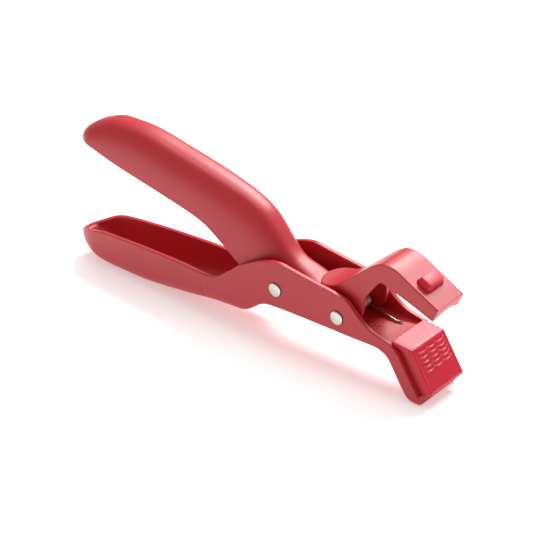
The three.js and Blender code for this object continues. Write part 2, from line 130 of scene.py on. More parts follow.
def settle(piece, name):
    """Puts the piece's place into its mesh and gives it its name."""
    select_only(piece)
    bpy.ops.object.transform_apply(location=True, rotation=True, scale=True)
    piece.name = name
    piece.data.name = name
    return piece


def finished(piece, name, material):
    """A settled piece in one material."""
    settle(piece, name)
    piece.data.materials.clear()
    piece.data.materials.append(material)
    return piece


def curve_through(points):
    """A smooth curve z(x) through points in order of x, with no overshoot between them."""
    slopes = [(b[1] - a[1]) / (b[0] - a[0]) for a, b in zip(points, points[1:])]
    tangents = []
    for i in range(len(points)):
        before = slopes[max(i - 1, 0)]
        after = slopes[min(i, len(slopes) - 1)]
        tangents.append(0 if before * after <= 0 else 2 * before * after / (before + after))

    def at(x):
        k = 0
        while k < len(points) - 2 and x > points[k + 1][0]:
            k += 1
        (x0, z0), (x1, z1) = points[k], points[k + 1]
        h = x1 - x0
        t = min(max((x - x0) / h, 0), 1)
        return (z0 * (1 + 2 * t) * (1 - t) ** 2 + tangents[k] * h * t * (1 - t) ** 2
                + z1 * t * t * (3 - 2 * t) + tangents[k + 1] * h * t * t * (t - 1))

    return at


def turned(a, b, c):
    """How far a line turns at b on its way from a to c."""
    before = math.atan2(b[1] - a[1], b[0] - a[0])
    after = math.atan2(c[1] - b[1], c[0] - b[0])
    return abs((after - before + math.pi) % (2 * math.pi) - math.pi)


def spread(points, count):
    """The same open line with count points, half shared out by length and half by turning, so that
    corners keep their shape."""
    lengths = [math.dist(a, b) for a, b in zip(points, points[1:])]
    turns = [0, *(turned(*points[i:i + 3]) for i in range(len(points) - 2))]
    length, turning = sum(lengths), max(sum(turns), 1e-6)
    measure = [0]
    for part, turn in zip(lengths, turns):
        measure.append(measure[-1] + 0.5 * part / length + 0.5 * turn / turning)
    even, k = [], 0
    for i in range(count):
        want = measure[-1] * i / (count - 1)
        while k < len(points) - 2 and measure[k + 1] < want:
            k += 1
        share = min(max((want - measure[k]) / max(measure[k + 1] - measure[k], 1e-12), 0), 1)
        even.append(tuple(p + (q - p) * share for p, q in zip(points[k], points[k + 1])))
    return even


def arch(half_width, height, exponent, corner, count):
    """An arch (y, h) from (+half_width, 0) over the top to (-half_width, 0). Its shoulders are
    superellipse quarters, corner wide and high at most, with flats between them."""
    across, up = min(corner, half_width), min(corner, height)
    line = []
    for side in (1, -1):
        quarter = []
        for i in range(ARCH_STEPS + 1):
            angle = math.pi / 2 * i / ARCH_STEPS
            c, s = math.cos(angle), math.sin(angle)
            quarter.append((side * (half_width - across + across * c ** (2 / exponent)),
                            height - up + up * s ** (2 / exponent)))
        quarter.insert(0, (side * half_width, 0))
        line += quarter if side > 0 else reversed(quarter)
    return spread(line, count)


def shell_ring(outer, inner, round_off, place):
    """One ring of a U-shaped wall. outer and inner are (half width, depth, exponent, corner), both
    measured from the rim, whose two edges are rounded. place turns (y, depth, whether inside) into
    a point."""
    edge = min(round_off, (outer[0] - inner[0]) * 0.45)
    soft = edge * 0.3
    ring = [(y, max(h, edge), False) for y, h in arch(*outer, RING_POINTS)]
    ring += [(-outer[0] + soft, soft, False), (-outer[0] + edge, 0, False)]
    ring += [(-inner[0] - edge, 0, True), (-inner[0] - soft, soft, True)]
    ring += [(y, max(h, edge), True) for y, h in reversed(arch(*inner, RING_POINTS))]
    ring += [(inner[0] + soft, soft, True), (inner[0] + edge, 0, True)]
    ring += [(outer[0] - edge, 0, False), (outer[0] - soft, soft, False)]
    return [place(*spot) for spot in ring]


def ruled(table, share):
    """The row of numbers at a share of the way through a table, on a smooth curve through its rows."""
    last = len(table) - 1
    position = min(max(share, 0), 1) * last
    k = min(int(position), last - 1)
    t = position - k
    a, b, c, d = (table[min(max(k + i, 0), last)] for i in (-1, 0, 1, 2))
    return [0.5 * (2 * q + (r - p) * t + (2 * p - 5 * q + 4 * r - s) * t * t
                   + (3 * q - p - 3 * r + s) * t ** 3)
            for p, q, r, s in zip(a, b, c, d)]


def loft(name, rings, detail=1):
    """A skin over closed rings of points, all with the same count, capped at both ends. A grid
    primitive gives the faces, because no operator makes a section that changes along its length."""
    columns, rows = len(rings[0]), len(rings)
    deselect()
    bpy.ops.mesh.primitive_grid_add(x_subdivisions=columns, y_subdivisions=rows - 1, size=GRID_SIZE)
    piece = bpy.context.object
    flat = [c * MM for ring in rings for point in [*ring, ring[0]] for c in point]
    piece.data.vertices.foreach_set("co", flat)
    piece.location = (0, 0, 0)
    edit(piece)
    bpy.ops.mesh.select_all(action="SELECT")
    bpy.ops.mesh.remove_doubles(threshold=0.00001)
    bpy.ops.mesh.select_all(action="DESELECT")
    bpy.ops.mesh.select_non_manifold(extend=False, use_wire=False, use_multi_face=False,
                                     use_non_contiguous=False, use_verts=False)
    bpy.ops.mesh.fill_holes(sides=0)
    bpy.ops.mesh.select_all(action="SELECT")
    bpy.ops.mesh.normals_make_consistent(inside=False)
    bpy.ops.object.mode_set(mode="OBJECT")
    if detail:
        apply_modifier(piece, "SUBSURF", levels=detail, render_levels=detail)
    smooth(piece)
    return settle(piece, name)


def stations(rear, front, round_length, round_count, step):
    """Places along X, closer together towards a round rear end."""
    places = [rear + round_length * (1 - math.cos(math.pi / 2 * i / round_count))
              for i in range(round_count)]
    count = math.ceil((front - rear - round_length) / step)
    start = rear + round_length
    return places + [start + (front - start) * i / count for i in range(count + 1)]


def end_factor(x, rear, length):
    """The plan outline of a half-round end: 0 at its tip, 1 where the straight sides begin."""
    return 1.0 if x >= rear + length else math.sqrt(max(0.0, 1 - ((rear + length - x) / length) ** 2))


def cut(piece, cutter):
    """Cuts one solid out of another and removes the cutter."""
    apply_modifier(piece, "BOOLEAN", operation="DIFFERENCE", object=cutter, solver="EXACT")
    bpy.data.objects.remove(cutter, do_unlink=True)


def join_solid(piece, other):
    """Makes one solid of two that overlap and removes the second."""
    apply_modifier(piece, "BOOLEAN", operation="UNION", object=other, solver="EXACT")
    bpy.data.objects.remove(other, do_unlink=True)


def gather(piece, others):
    """Makes one object of a piece and the smaller solids set into it."""
    deselect()
    for other in others:
        other.select_set(True)
    piece.select_set(True)
    bpy.context.view_layer.objects.active = piece
    bpy.ops.object.join()


def rod(centre, radius, y0, y1, vertices=64):
    """A plain round bar along Y, in millimetres."""
    deselect()
    bpy.ops.mesh.primitive_cylinder_add(
        vertices=vertices, radius=radius * MM, depth=(y1 - y0) * MM,
        location=(centre[0] * MM, (y0 + y1) / 2 * MM, centre[2] * MM), rotation=(math.pi / 2, 0, 0))
    return settle(bpy.context.object, "rod")


# ---- Materials ----
def linear(hex_colour):
    """An sRGB hex colour as linear RGBA."""
    channels = [int(hex_colour[i:i + 2], 16) / 255 for i in (1, 3, 5)]
    return [*(c / 12.92 if c <= 0.04045 else ((c + 0.055) / 1.055) ** 2.4 for c in channels), 1.0]


def node(tree, kind, settings=None, links=None):
    """Adds a node with its settings and links. A setting is an input's name or number, or a
    property; a link gives an input the output of another node."""
    made = tree.nodes.new(kind)
    for key, value in (settings or {}).items():
        if isinstance(key, int) or key in made.inputs:
            made.inputs[key].default_value = value
        else:
            setattr(made, key, value)
    for key, (source, output) in (links or {}).items():
        tree.links.new(source.outputs[output], made.inputs[key])
    return made


def new_material(name, **shader):
    """A named material and its principled shader."""
    material = bpy.data.materials.new(name)
    material.use_nodes = True
    principled = material.node_tree.nodes["Principled BSDF"]
    for key, value in shader.items():
        principled.inputs[key.replace("_", " ")].default_value = value
    return material, material.node_tree, principled


def per_metre(size_mm):
    """A texture's scale whose features are about size_mm across on Object coordinates."""
    return 1 / (size_mm * MM)


def moulded_polypropylene():
    """Glass-filled polypropylene out of a spark-eroded mould: a deep dull red with a fine pebble
    grain of about 0.3 mm, drawn at 0.45 mm with 0.6 mm pits so that it shows, and a soft broad
    sheen."""
    material, tree, shader = new_material(
        "moulded_polypropylene_spark_eroded", IOR=1.49, Specular_IOR_Level=0.6)
    place = node(tree, "ShaderNodeTexCoord")
    clouds = node(tree, "ShaderNodeTexNoise", {"Scale": per_metre(28), "Detail": 3.0, "Roughness": 0.5},
                  {"Vector": (place, "Object")})
    tint = node(tree, "ShaderNodeMix", {"data_type": "RGBA", 6: linear("#B61D27"), 7: linear("#BE252F")},
                {0: (clouds, "Fac")})
    grain = node(tree, "ShaderNodeTexNoise", {"Scale": per_metre(0.45), "Detail": 2.0, "Roughness": 0.6},
                 {"Vector": (place, "Object")})
    pits = node(tree, "ShaderNodeTexVoronoi", {"Scale": per_metre(0.6), "feature": "SMOOTH_F1"},
                {"Vector": (place, "Object")})
    relief = node(tree, "ShaderNodeMath", {"operation": "ADD"}, {0: (grain, "Fac"), 1: (pits, "Distance")})
    bump = node(tree, "ShaderNodeBump", {"Strength": 0.16, "Distance": 0.12 * MM},
                {"Height": (relief, "Value")})
    dull = node(tree, "ShaderNodeMapRange",
                {"From Min": 0.3, "From Max": 0.7, "To Min": 0.36, "To Max": 0.46},
                {"Value": (grain, "Fac")})
    tree.links.new(tint.outputs[2], shader.inputs["Base Color"])
    tree.links.new(dull.outputs["Result"], shader.inputs["Roughness"])
    tree.links.new(bump.outputs["Normal"], shader.inputs["Normal"])
    return material


def crimson_silicone():
    """Liquid silicone rubber, moulded against a fine satin tool: saturated crimson, slightly
    translucent at its edges, with a satin grain of about 0.25 mm on its sheen, drawn at 0.4 mm so
    that it shows."""
    material, tree, shader = new_material(
        "crimson_silicone_rubber_satin", IOR=1.41, Specular_IOR_Level=0.55, Subsurface_Weight=0.12,
        Subsurface_Scale=1.5 * MM)
    shader.inputs["Subsurface Radius"].default_value = (1.0, 0.2, 0.15)
    place = node(tree, "ShaderNodeTexCoord")
    grain = node(tree, "ShaderNodeTexNoise", {"Scale": per_metre(0.4), "Detail": 2.0},
                 {"Vector": (place, "Object")})
    clouds = node(tree, "ShaderNodeTexNoise", {"Scale": per_metre(9), "Detail": 2.0},
                  {"Vector": (place, "Object")})
    tint = node(tree, "ShaderNodeMix", {"data_type": "RGBA", 6: linear("#C8102F"), 7: linear("#D01A3A")},
                {0: (clouds, "Fac")})
    bump = node(tree, "ShaderNodeBump", {"Strength": 0.12, "Distance": 0.1 * MM},
                {"Height": (grain, "Fac")})
    dull = node(tree, "ShaderNodeMapRange",
                {"From Min": 0.3, "From Max": 0.7, "To Min": 0.30, "To Max": 0.38},
                {"Value": (grain, "Fac")})
    tree.links.new(tint.outputs[2], shader.inputs["Base Color"])
    tree.links.new(dull.outputs["Result"], shader.inputs["Roughness"])
    tree.links.new(bump.outputs["Normal"], shader.inputs["Normal"])
    return material


def tumbled_rivet_steel():
    """Nickel-plated steel rivet, headed and tumbled: a soft bright grey, clouded by tumbling marks
    about 0.5 mm across."""
    material, tree, shader = new_material("nickel_plated_rivet_steel", Metallic=1.0)
    place = node(tree, "ShaderNodeTexCoord")
    marks = node(tree, "ShaderNodeTexNoise", {"Scale": per_metre(0.5), "Detail": 4.0},
                 {"Vector": (place, "Object")})
    scuffs = node(tree, "ShaderNodeMapRange",
                  {"From Min": 0.3, "From Max": 0.75, "To Min": 0.22, "To Max": 0.42},
                  {"Value": (marks, "Fac")})
    tint = node(tree, "ShaderNodeMix", {"data_type": "RGBA", 6: linear("#D9D7D2"), 7: linear("#BFBDB8")},
                {0: (marks, "Fac")})
    bump = node(tree, "ShaderNodeBump", {"Strength": 0.1, "Distance": 0.05 * MM},
                {"Height": (marks, "Fac")})
    tree.links.new(tint.outputs[2], shader.inputs["Base Color"])
    tree.links.new(scuffs.outputs["Result"], shader.inputs["Roughness"])
    tree.links.new(bump.outputs["Normal"], shader.inputs["Normal"])
    return material


def drawn_spring_wire():
    """Drawn stainless spring wire, 0.9 mm thick: bright grey, with faint scuffs from the die about
    0.3 mm across."""
    material, tree, shader = new_material("drawn_stainless_wire", Metallic=1.0)
    place = node(tree, "ShaderNodeTexCoord")
    marks = node(tree, "ShaderNodeTexNoise", {"Scale": per_metre(0.3), "Detail": 2.0},
                 {"Vector": (place, "Object")})
    dull = node(tree, "ShaderNodeMapRange", {"To Min": 0.2, "To Max": 0.38}, {"Value": (marks, "Fac")})
    tint = node(tree, "ShaderNodeMix", {"data_type": "RGBA", 6: linear("#D6D3CE"), 7: linear("#B4B1AC")},
                {0: (marks, "Fac")})
    tree.links.new(tint.outputs[2], shader.inputs["Base Color"])
    tree.links.new(dull.outputs["Result"], shader.inputs["Roughness"])
    return material


# ---- Lower body ----
BODY_REAR = -99.5
BODY_END_LENGTH = 13.5
BODY_KEEL_AT_PINS = 18.1
BODY_RIM_ROUND = 0.32
BODY_FRONT_START = 53.0
BODY_FRONT_SHOULDER = 70  # the front keeps the shoulders that the body has here
BODY_FRONT_STEPS = 60
PLATE_START = 8  # where the floor begins to thicken into the floor plate
PLATE_RUN = 8
END_WALL_RUN = 30  # the inside is set in from a round rear end, and less so over this length
rim_height = curve_through([
    (BODY_REAR, 11.4), (-95, 13.2), (-89.4, 15.8), (-82, 17.6), (-69, 18.6), (-54, 19.4),
    (-32, 19.9), (-18, 19.6), (-13.9, 19.9), (-6, 25.0), (2.3, 31.5), (14.9, 37.9),
    (22.8, 39.6), (28, 38.9), (39.1, 37.4), (52.3, 35.7), (56.8, 34.6), (60.3, 31.8),
    (63.4, 28.4), (68.4, 25.2), (73.0, 23.8), (80, 23.2)])
keel_height = curve_through([
    (BODY_REAR, 11.0), (-97, 7.2), (-92.7, 3.4), (-86, 0.6), (-78, 0), (-60, 0.2),
    (-36.3, 2.7), (-4.3, 8.1), (2, 9.0), (7.5, 12.2), (11.9, 15.8), (16.2, 17.4), (28.9, 18.0), (80, 18.3)])
body_plan = curve_through([
    (BODY_REAR, 9.8), (-82, 10.1), (-68, 10.7), (-54, 11.2), (-32, 12.0), (-16, 12.6),
    (-6, BODY_HALF_WIDTH), (80, BODY_HALF_WIDTH)])
body_exponent = curve_through([(BODY_REAR, 2.8), (-75, 4.0), (-20, 4.2), (-4, 3.6), (12, 2.2), (80, 2.2)])
body_corner = curve_through([(BODY_REAR, 21), (-40, 18), (-20, 14.3), (-4, 8), (12, 1.8), (80, 1.7)])

# The front jaw runs down at this slope; its faces are set out from the pad's outer corner.
JAW_SLOPE = math.radians(-57.2)
ALONG_JAW = (math.cos(JAW_SLOPE), math.sin(JAW_SLOPE))
OUT_OF_JAW = (-ALONG_JAW[1], ALONG_JAW[0])
PAD_BEND = (88.6, 22.4)
PAD_FACE_LENGTH = 19.4
PAD_REAR = (79.0, 23.5)
FLANGE_HEIGHT = 6.3
CORE_HALF_WIDTH = 10.3
CORE_SEAT = PAD_THICKNESS + 0.05
PIP_RADIUS = 0.9
PIP_SINK = 0.6
PIP_ROWS = 3
PIPS_A_ROW = 4
PIP_PITCH = (1.6, 1.5)
PIP_FIRST = (62.9, -5.2)
PIP_STAGGER = 0.7


def jaw_point(s, t):
    """A point s down the front jaw from the pad's corner, and t in from the pad's face."""
    return tuple(PAD_BEND[i] + ALONG_JAW[i] * s - OUT_OF_JAW[i] * t for i in (0, 1))


# Sections of the body from the swoop of its cheeks, over the floor plate and down the front jaw to
# the foot: a point on its underside, a point on its rim, and how thick the floor is between them.
BODY_FRONT = [
    (54, 18.1, 54, 35.3, 3.2), (56.8, 18.1, 56.8, 34.7, 3.2), (59.8, 18.15, 59.8, 32.5, 3.15),
    (62.8, 18.2, 62.9, 29.4, 3.1), (66, 18.25, 66.2, 27.0, 3.05), (69, 18.3, 69.6, 25.1, 3.0),
    (72, 18.2, 73.2, 24.05, 3.1), (74.6, 17.55, 76.5, 23.4, 3.9), (76.7, 16.5, 79.4, 22.5, 5.2),
    (78.3, 14.9, 82.5, 19.9, 6.3), (79.5, 13.05, 84.5, 16.9, 6.2), (81.0, 10.7, 86.3, 14.1, 6.2),
    (82.8, 7.9, 88.1, 11.3, 6.2), (84.6, 5.15, 89.9, 8.55, 6.2), (85.8, 3.4, 91.0, 6.9, 6.2),
    (87.0, 1.85, 91.9, 5.5, 6.0), (88.6, 0.65, 92.4, 4.7, 5.4), (90.6, 0.1, 92.7, 4.35, 4.6),
    (92.6, 0, 92.9, 4.2, 4.1), (94.1, 0.15, 93.05, 4.1, 4.0), (95.0, 0.95, 93.15, 4.0, 3.5)]


def body_ring(foot, rim, floor, outer_half, inner_half, shoulder, grow=0.0):
    """A section of the body between a point on its underside and a point on its rim."""
    depth = math.dist(foot, rim)
    up = ((rim[0] - foot[0]) / depth, (rim[1] - foot[1]) / depth)
    exponent, corner = shoulder
    outer = (outer_half, depth, exponent, corner)
    inner = (inner_half, max(depth - floor, 0.06), exponent, max(corner - BODY_WALL, 0.5))
    return shell_ring(outer, inner, BODY_RIM_ROUND, lambda y, d, inside: (
        rim[0] - up[0] * d + (grow if inside else 0), y, rim[1] - up[1] * d))


def body_rings():
    """The sections of the body, along the trough and then down the front jaw to its foot."""
    rings = []
    for x in stations(BODY_REAR, BODY_FRONT_START, BODY_END_LENGTH, 14, 2.0):
        factor = end_factor(x, BODY_REAR, BODY_END_LENGTH)
        plate = min(max((x - PLATE_START) / PLATE_RUN, 0), 1)
        rings.append(body_ring(
            (x, keel_height(x)), (x, max(rim_height(x), keel_height(x) + 0.4)),
            BODY_WALL + (FLOOR_TOP - BODY_KEEL_AT_PINS - BODY_WALL) * plate,
            max(0.02, body_plan(x) * factor), max(0.01, (body_plan(x) - BODY_WALL) * factor),
            (body_exponent(x), body_corner(x)),
            BODY_WALL * max(0, 1 - (x - BODY_REAR) / END_WALL_RUN)))
    front_shoulder = (body_exponent(BODY_FRONT_SHOULDER), body_corner(BODY_FRONT_SHOULDER))
    for i in range(BODY_FRONT_STEPS + 1):
        foot_x, foot_z, rim_x, rim_z, floor = ruled(BODY_FRONT, i / BODY_FRONT_STEPS)
        rings.append(body_ring((foot_x, foot_z), (rim_x, rim_z), floor, BODY_HALF_WIDTH,
                               BODY_HALF_WIDTH - BODY_WALL, front_shoulder))
    foot = rings[-1]
    return [*rings, drawn_in(foot, (0.02, 0.02), 0.0), drawn_in(foot, (0.12, 0.1), 0.12),
            drawn_in(foot, (0.18, 0.15), 0.35)]


def drawn_in(ring, move, inset):
    """A ring moved along and drawn in towards its middle, which rounds the edge of an end."""
    lows = [min(p[k] for p in ring) for k in range(3)]
    highs = [max(p[k] for p in ring) for k in range(3)]
    middle = [(a + b) / 2 for a, b in zip(lows, highs)]
    reach = [max((b - a) / 2, inset) for a, b in zip(lows, highs)]
    moved = [[m + (c - m) * (1 - inset / r) for c, m, r in zip(point, middle, reach)] for point in ring]
    return [(x + move[0], y, z + move[1]) for x, y, z in moved]


def outline_solid(points, y0, y1, bevel=0.0):
    """A side outline drawn point by point, filled, and extruded across from y0 to y1."""
    deselect()
    bpy.ops.mesh.primitive_circle_add(vertices=len(points), radius=1, fill_type="NGON")
    piece = bpy.context.object
    piece.data.vertices.foreach_set("co", [c for x, z in points for c in (x * MM, y0 * MM, z * MM)])
    edit(piece)
    bpy.ops.mesh.select_all(action="SELECT")
    bpy.ops.mesh.extrude_region_move(TRANSFORM_OT_translate={"value": (0, (y1 - y0) * MM, 0)})
    bpy.ops.mesh.select_all(action="SELECT")
    bpy.ops.mesh.normals_make_consistent(inside=False)
    bpy.ops.object.mode_set(mode="OBJECT")
    if bevel:
        apply_modifier(piece, "BEVEL", width=bevel * MM, segments=3, limit_method="ANGLE",
                       angle_limit=math.radians(40), use_clamp_overlap=True)
    return settle(piece, "outline_solid")


def bezier(a, b, c, count):
    """Points on a quadratic curve from a to c that leans towards b, with a left out."""
    line = []
    for i in range(1, count + 1):
        t = i / count
        line.append(tuple(a[k] * (1 - t) ** 2 + 2 * b[k] * t * (1 - t) + c[k] * t * t for k in (0, 1)))
    return line


def make_jaw_core():
    """The narrower core that carries the pad down the front jaw."""
    return outline_solid(
        [(72, 19.5), jaw_point(2, FLANGE_HEIGHT + 2), jaw_point(17.0, FLANGE_HEIGHT + 2.5),
         jaw_point(PAD_FACE_LENGTH - 0.6, FLANGE_HEIGHT + 1.0),
         jaw_point(PAD_FACE_LENGTH - 0.8, CORE_SEAT), jaw_point(0.6, CORE_SEAT),
         jaw_point(-1.4, CORE_SEAT + 0.6), (80.5, 21.4), (72, 20.8)],
        -CORE_HALF_WIDTH, CORE_HALF_WIDTH, 0.3)


def make_floor_marks():
    """Small moulded pips on the floor plate, in front of the coil."""
    pips = []
    for row in range(PIP_ROWS):
        for place in range(PIPS_A_ROW):
            x = PIP_FIRST[0] + PIP_PITCH[0] * row
            y = PIP_FIRST[1] + PIP_PITCH[1] * place + (PIP_STAGGER if row % 2 else 0)
            deselect()
            bpy.ops.mesh.primitive_uv_sphere_add(
                segments=12, ring_count=8, radius=PIP_RADIUS * MM,
                location=(x * MM, y * MM, (FLOOR_TOP - PIP_SINK) * MM))
            pips.append(settle(bpy.context.object, "pip"))
    return pips


def make_lower_body(material):
    """The fixed moulding, with its pin holes and head recesses, its core and its floor marks."""
    body = loft("lower_body_shell", body_rings())
    reach = BODY_HALF_WIDTH + 1
    for pivot in (REAR_PIVOT, FRONT_PIVOT):
        cut(body, rod(pivot, PIN_RADIUS + PIN_CLEARANCE, -reach, reach))
        cut(body, rod(pivot, RECESS_RADIUS, -reach, -BODY_HALF_WIDTH + RECESS_DEPTH))
        cut(body, rod(pivot, RECESS_RADIUS, BODY_HALF_WIDTH - RECESS_DEPTH, reach))
    gather(body, [make_jaw_core(), *make_floor_marks()])
    smooth(body)
    return finished(body, "lower_body_moulding", material)


# ---- Upper handle ----
HANDLE_REAR = -95.2
HANDLE_END_LENGTH = 9.5
HANDLE_RIM_ROUND = 0.4
HANDLE_BOSS_RADIUS = 4.4
HINGE_WALL_SHARE = 1.25  # how much thicker the wall is round the hinge
HINGE_STRETCH = (-10, 26)
NOSE_TIP = 45.5
NOSE_THINS_FROM = 30
NOSE_SOLID_FROM = 34
NOSE_HOLLOW = 0.4  # the dent left under the solid nose
NOSE_SLOPE = 1.2
handle_top = curve_through([
    (HANDLE_REAR, 61.4), (-94, 63.0), (-90.5, 65.9), (-83, 69.9), (-74, 72.3), (-63.7, 72.3),
    (-37.5, 68.0), (-8.4, 61.4), (-1.2, 59.1), (6.8, 54.9), (12.2, 49.7), (17, 44.3),
    (20.3, 40.6), (24.8, 37.2), (30.8, 34.9), (36.5, 32.4), (NOSE_TIP, 30.8)])
handle_bottom = curve_through([
    (HANDLE_REAR, 60.4), (-90, 59.3), (-83, 57.7), (-74, 55.2), (-43.7, 48.7), (-26.9, 44.9),
    (-20, 42.6), (-10.5, 36.8), (0.8, 29.1), (9, 25.4), (16, 23.0), (24, 23.2), (32, 26.8),
    (40, 28.8), (NOSE_TIP, 29.4)])
handle_plan = curve_through([
    (HANDLE_REAR, 9.9), (-82, 10.2), (-60, HANDLE_HALF_WIDTH), (1, HANDLE_HALF_WIDTH), (9, 9.8),
    (18, 7.6), (24, NOSE_HALF_WIDTH), (NOSE_TIP, NOSE_HALF_WIDTH - 0.4)])
handle_exponent = curve_through([(HANDLE_REAR, 2.2), (-60, 2.7), (0, 2.7), (20, 3.2), (NOSE_TIP, 5)])


def hollow_depth(x):
    """How deep the hollow under the handle is, up to where the nose is solid."""
    wall = HANDLE_WALL * (HINGE_WALL_SHARE if HINGE_STRETCH[0] < x < HINGE_STRETCH[1] else 1)
    depth = max(handle_top(x) - handle_bottom(x) - wall, NOSE_HOLLOW)
    if x <= NOSE_THINS_FROM:
        return depth
    return min(depth, NOSE_HOLLOW + max(NOSE_SOLID_FROM - x, 0) * NOSE_SLOPE)


def handle_ring(x):
    """A section of the handle: an arch whose open side faces down."""
    top, bottom = handle_top(x), handle_bottom(x)
    factor = end_factor(x, HANDLE_REAR, HANDLE_END_LENGTH)
    shoulder = (handle_exponent(x), ALL_ROUND)
    outer = (max(0.02, handle_plan(x) * factor), max(top - bottom, 0.5), *shoulder)
    inner = (max(0.01, (handle_plan(x) - HANDLE_WALL) * factor), hollow_depth(x), *shoulder)
    grow = HANDLE_WALL * max(0, 1 - (x - HANDLE_REAR) / END_WALL_RUN)
    return shell_ring(outer, inner, HANDLE_RIM_ROUND, lambda y, d, inside: (
        x + (grow if inside else 0), y, bottom + d))


def make_upper_handle(material):
    """The squeezed handle, with a boss on each side of its hinge."""
    places = stations(HANDLE_REAR, NOSE_TIP, HANDLE_END_LENGTH, 12, 2.0)
    handle = loft("upper_handle_moulding", [handle_ring(x) for x in places])
    boss_end = BODY_HALF_WIDTH - BODY_WALL - BOSS_CLEARANCE
    boss_start = NOSE_HALF_WIDTH - HANDLE_WALL
    for side in (-1, 1):
        ends = sorted((side * boss_start, side * boss_end))
        join_solid(handle, rod(REAR_PIVOT, HANDLE_BOSS_RADIUS, *ends))
    cut(handle, rod(REAR_PIVOT, PIN_RADIUS + PIN_CLEARANCE, -BODY_HALF_WIDTH, BODY_HALF_WIDTH))
    smooth(handle)
    return finished(handle, "upper_handle_moulding", material)


# ---- Upper jaw ----
JAW_TIP = (98.2, 43.6)
PLATE_SLOPE = math.radians(-27.2)
NUB_CENTRE = (88.1, 48.85)
NUB_BASE = (7.2, 11.3)
NUB_FACE = (5.4, 9.3)
NUB_HEIGHT = 2.9
NUB_STRAIGHT = 0.35  # how far the nub stands out before it tapers
NUB_ROOT = 3.5
NUB_CORNER = 1.7
WINDOW_CLEARANCE = 0.06
WINDOW_REACH = 5
JAW_RIM_ROUND = 0.3
JAW_ROOF = 2.2
JAW_SECTIONS = 110
JAW_TAIL_LENGTH = 6.8
JAW_BOSS_RADIUS = 3.6

# Each rib joins a point on the jaw's top line to a point on its lower edge, from the tail's tongue,
# round the ears at the pin, up into the arch, and out along the front plate.
JAW_RIBS = [
    (37.6, 35.2, 37.6, 33.4), (40, 35.35, 40, 33.5), (43, 35.6, 43, 33.7),
    (45.6, 36.15, 46.4, 33.7), (46.8, 36.5, 48.4, 33.0), (47.4, 36.8, 49.1, 30),
    (48.2, 37.1, 49.0, 25.3), (49.6, 37.9, 50.2, 22.7), (51.5, 39.3, 52.8, 21.6),
    (53.4, 40.8, 54.7, 22.1), (56.5, 43.5, 58.3, 24.0), (59.0, 45.8, 61.2, 25.9),
    (60.2, 46.85, 62.0, 28.0), (61.5, 48.0, 62.6, 31.0), (63.2, 49.5, 62.7, 34.2),
    (64.8, 50.85, 63.9, 37.2), (66.8, 52.35, 66.0, 40.4), (69.2, 53.85, 68.6, 44.0),
    (71.2, 54.6, 70.2, 45.7), (73.0, 54.85, 71.8, 46.1), (75.6, 54.8, 74.2, 45.4),
    (78.6, 53.9, 76.8, 44.5), (84.8, 50.6, 82.4, 42.75), (91.5, 47.15, 88.8, 40.5),
    (JAW_TIP[0], JAW_TIP[1], 95.7, 37.9)]


def jaw_ring(top_x, top_z, edge_x, edge_z):
    """A section of the jaw between a point on its top line and a point on its lower edge."""
    depth = math.dist((top_x, top_z), (edge_x, edge_z))
    down = ((edge_x - top_x) / depth, (edge_z - top_z) / depth)
    half = max(JAW_HALF_WIDTH * end_factor(top_x, JAW_RIBS[0][0], JAW_TAIL_LENGTH), 0.02)
    wall = min(JAW_WALL, half * 0.5)
    outer = (half, depth, 2.0, 0.55)
    inner = (half - wall, max(depth - JAW_ROOF, 0.05), 2.0, 0.4)
    return shell_ring(outer, inner, JAW_RIM_ROUND, lambda y, d, inside: (
        edge_x - down[0] * d, y, edge_z - down[1] * d))


def make_upper_jaw(material):
    """The hook-shaped jaw, with a boss on each ear, its pin hole and the window for the nub."""
    rings = [jaw_ring(*ruled(JAW_RIBS, i / JAW_SECTIONS)) for i in range(JAW_SECTIONS + 1)]
    tip = rings[-1]
    rings += [drawn_in(tip, (0.02, -0.01), 0.0), drawn_in(tip, (0.1, -0.05), 0.06),
              drawn_in(tip, (0.14, -0.07), 0.2)]
    jaw = loft("upper_jaw_moulding", rings)
    boss_start = JAW_HALF_WIDTH - JAW_WALL + 0.2
    boss_end = BODY_HALF_WIDTH - BODY_WALL - BOSS_CLEARANCE
    for side in (-1, 1):
        ends = sorted((side * boss_start, side * boss_end))
        join_solid(jaw, rod(FRONT_PIVOT, JAW_BOSS_RADIUS, *ends))
    cut(jaw, rod(FRONT_PIVOT, PIN_RADIUS + PIN_CLEARANCE, -BODY_HALF_WIDTH, BODY_HALF_WIDTH))
    cut(jaw, nub_block(WINDOW_CLEARANCE, -WINDOW_REACH, WINDOW_REACH))
    smooth(jaw)
    return finished(jaw, "upper_jaw_moulding", material)


def nub_block(clearance, low, high):
    """A block of the nub's size and a clearance round it, with round corners, standing through the
    front plate from depth low to high."""
    half_length, half_width = NUB_BASE[0] / 2 + clearance, NUB_BASE[1] / 2 + clearance
    deselect()
    bpy.ops.mesh.primitive_cube_add(size=1, location=(0, 0, (low + high) / 2 * MM))
    block = bpy.context.object
    block.scale = (2 * half_length * MM, 2 * half_width * MM, (high - low) * MM)
    bpy.ops.object.transform_apply(location=True, rotation=True, scale=True)
    edit(block, "EDGE")
    bpy.ops.object.mode_set(mode="OBJECT")
    for edge in block.data.edges:
        a, b = (block.data.vertices[v].co for v in edge.vertices)
        edge.select = abs(a.z - b.z) > 0.5 * (high - low) * MM
    bpy.ops.object.mode_set(mode="EDIT")
    bpy.ops.mesh.bevel(offset=NUB_CORNER * MM, segments=8, affect="EDGES")
    bpy.ops.object.mode_set(mode="OBJECT")
    block.rotation_euler = (0, -PLATE_SLOPE, 0)
    block.location = (NUB_CENTRE[0] * MM, 0, NUB_CENTRE[1] * MM)
    return settle(block, "nub_block")


